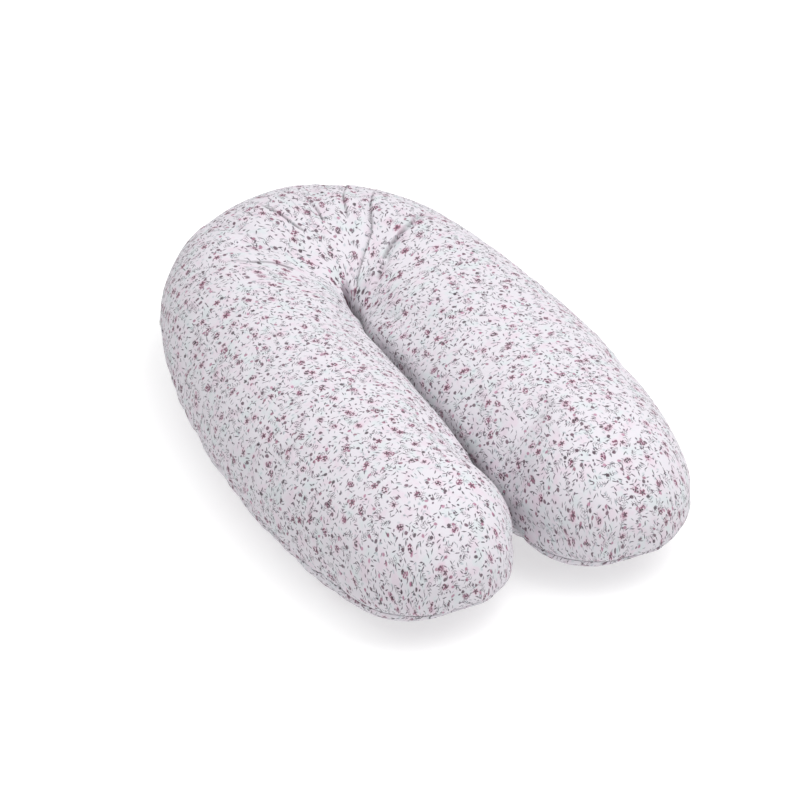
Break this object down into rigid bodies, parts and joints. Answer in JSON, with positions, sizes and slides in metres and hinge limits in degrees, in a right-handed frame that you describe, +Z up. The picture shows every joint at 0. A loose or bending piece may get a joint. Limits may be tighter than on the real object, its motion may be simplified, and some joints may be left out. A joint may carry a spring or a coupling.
{
  "type": "nursing pillow",
  "caption": "Horseshoe-shaped soft nursing pillow with two arms side by side, a printed removable cover and a zip in the outer seam at the crown.",
  "frame": {"origin": "centre of the underside of the pillow's box, on the surface it lies on", "axes": "+Z up from the surface, +Y from the arm tips towards the crown, +X towards the right arm"},
  "size_m": [0.5118, 0.8, 0.194],
  "materials": {
    "printed_cotton": "matt woven cotton with a small floral print",
    "plain_ticking": "matt plain weave",
    "fibre_filling": "loose fibre",
    "zip_tape": "woven tape",
    "zip_nylon": "nylon monofilament",
    "zip_metal": "satin nickel",
    "label_satin": "satin tape"
  },
  "bodies": {
    "crown": {"cover_top_crown": "printed_cotton", "cover_bottom_crown": "printed_cotton", "inner_case_top_crown": "plain_ticking", "inner_case_bottom_crown": "plain_ticking", "filling_crown": "fibre_filling", "zip_tape_upper": "zip_tape", "zip_tape_lower": "zip_tape", "zip_coil_upper": "zip_nylon", "zip_coil_lower": "zip_nylon", "zip_top_stop_upper": "zip_metal", "zip_top_stop_lower": "zip_metal", "zip_bottom_stop": "zip_metal", "care_label": "label_satin"},
    "left_arm": {"cover_top_left_arm": "printed_cotton", "cover_bottom_left_arm": "printed_cotton", "inner_case_top_left_arm": "plain_ticking", "inner_case_bottom_left_arm": "plain_ticking", "filling_left_arm": "fibre_filling"},
    "right_arm": {"cover_top_right_arm": "printed_cotton", "cover_bottom_right_arm": "printed_cotton", "inner_case_top_right_arm": "plain_ticking", "inner_case_bottom_right_arm": "plain_ticking", "filling_right_arm": "fibre_filling"},
    "zip_slider": {"zip_slider_body": "zip_metal"},
    "zip_pull": {"zip_pull_tab": "zip_metal"}
  },
  "joints": [
    {"name": "right_arm_spread", "type": "hinge", "parent": "crown", "child": "right_arm", "pos_m": [0.225, 0.1835, 0.08], "axis": [0, 0, 1], "range_deg": [0, 30]},
    {"name": "left_arm_spread", "type": "hinge", "parent": "crown", "child": "left_arm", "pos_m": [-0.225, 0.1835, 0.08], "axis": [0, 0, -1], "range_deg": [0, 30]},
    {"name": "zip_run", "type": "hinge", "parent": "crown", "child": "zip_slider", "pos_m": [0, 0.184, 0.08], "axis": [0, 0, 1], "range_deg": [0, 123.7]},
    {"name": "pull_flip", "type": "hinge", "parent": "zip_slider", "child": "zip_pull", "pos_m": [0.19133, 0.28623, 0.08], "axis": [0, 0, -1], "range_deg": [0, 150]}
  ]
}
